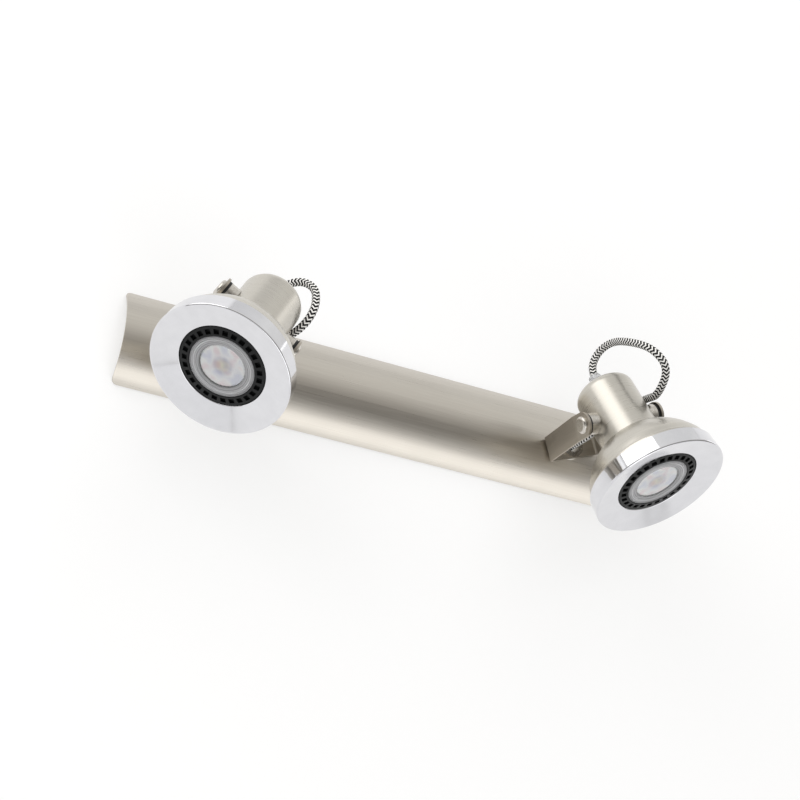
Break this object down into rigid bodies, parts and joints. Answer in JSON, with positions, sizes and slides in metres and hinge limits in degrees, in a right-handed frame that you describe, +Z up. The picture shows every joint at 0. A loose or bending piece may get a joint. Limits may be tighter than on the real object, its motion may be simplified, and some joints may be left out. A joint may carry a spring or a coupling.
{
  "type": "spotlight bar",
  "caption": "Wall spotlight bar: curved satin-nickel sheet bar with swivelling yokes that carry tilting bell-shaped lamp heads with chrome rings.",
  "frame": {"origin": "centre of the bar's mounting plane, midway between the two wall screws", "axes": "+X along the bar, +Y into the wall (the lamps stand out along -Y), +Z up"},
  "size_m": [0.3521, 0.1347, 0.1188],
  "materials": {
    "black_plastic": "moulded plastic",
    "black_rubber": "moulded rubber",
    "brass": "nickel-free brass",
    "cable_braid": "black and white textile braid",
    "cable_sheath": "insulated lead",
    "chrome": "bright chrome plate",
    "clear_bush": "translucent nylon",
    "clear_lens": "clear moulded lens",
    "glazed_ceramic": "glazed ceramic",
    "lamp_housing": "moulded lamp housing",
    "light_source": "frosted light source",
    "polished_steel": "bright nickel plated steel",
    "satin_nickel": "satin nickel plate on steel sheet",
    "white_nylon": "moulded nylon",
    "zinc_steel": "zinc plated steel"
  },
  "bodies": {
    "bar": {"bar_cover": "satin_nickel", "hanging_bridges": "zinc_steel", "wall_bracket": "zinc_steel", "supply_grommet": "black_rubber", "terminal_block": "white_nylon", "terminal_clamps": "brass", "terminal_screw": "zinc_steel", "earth_screw": "brass", "left_friction_washer": "zinc_steel", "left_inner_pad": "zinc_steel", "left_stop_lug": "zinc_steel", "left_inner_lead": "cable_sheath", "right_friction_washer": "zinc_steel", "right_inner_pad": "zinc_steel", "right_stop_lug": "zinc_steel", "right_inner_lead": "cable_sheath"},
    "left_arm": {"left_yoke": "satin_nickel", "left_nipple": "zinc_steel", "left_ring_nut": "satin_nickel", "left_inner_nut": "zinc_steel", "left_stop_washer": "zinc_steel", "left_rubber_washers": "black_rubber", "left_cable_loop": "cable_braid"},
    "left_head": {"left_neck": "satin_nickel", "left_bell": "satin_nickel", "left_chrome_ring": "chrome", "left_pivot_spacers": "polished_steel", "left_pivot_screws": "polished_steel", "left_pivot_nuts": "zinc_steel", "left_rear_gland": "clear_bush", "left_head_cable": "cable_braid", "left_lampholder": "glazed_ceramic", "left_holder_bracket": "zinc_steel", "left_lamp_body": "lamp_housing", "left_lamp_bezel": "black_plastic", "left_lamp_lens": "clear_lens", "left_lamp_optic": "light_source", "left_lamp_pins": "brass"},
    "right_arm": {"right_yoke": "satin_nickel", "right_nipple": "zinc_steel", "right_ring_nut": "satin_nickel", "right_inner_nut": "zinc_steel", "right_stop_washer": "zinc_steel", "right_rubber_washers": "black_rubber", "right_cable_loop": "cable_braid"},
    "right_head": {"right_neck": "satin_nickel", "right_bell": "satin_nickel", "right_chrome_ring": "chrome", "right_pivot_spacers": "polished_steel", "right_pivot_screws": "polished_steel", "right_pivot_nuts": "zinc_steel", "right_rear_gland": "clear_bush", "right_head_cable": "cable_braid", "right_lampholder": "glazed_ceramic", "right_holder_bracket": "zinc_steel", "right_lamp_body": "lamp_housing", "right_lamp_bezel": "black_plastic", "right_lamp_lens": "clear_lens", "right_lamp_optic": "light_source", "right_lamp_pins": "brass"}
  },
  "joints": [
    {"name": "left_swivel", "type": "hinge", "parent": "bar", "child": "left_arm", "pos_m": [-0.117, -0.01357, 0], "axis": [0, -1, 0], "range_deg": [-141.2, 198.8]},
    {"name": "left_tilt", "type": "hinge", "parent": "left_arm", "child": "left_head", "pos_m": [-0.117, -0.07537, 0], "axis": [0.8763, 0, -0.4818], "range_deg": [-98, 22], "deforming": ["left_cable_loop"]},
    {"name": "right_swivel", "type": "hinge", "parent": "bar", "child": "right_arm", "pos_m": [0.117, -0.01357, 0], "axis": [0, -1, 0], "range_deg": [-191.5, 148.5]},
    {"name": "right_tilt", "type": "hinge", "parent": "right_arm", "child": "right_head", "pos_m": [0.117, -0.07537, 0], "axis": [0.9304, 0, 0.3665], "range_deg": [-95, 25], "deforming": ["right_cable_loop"]}
  ]
}
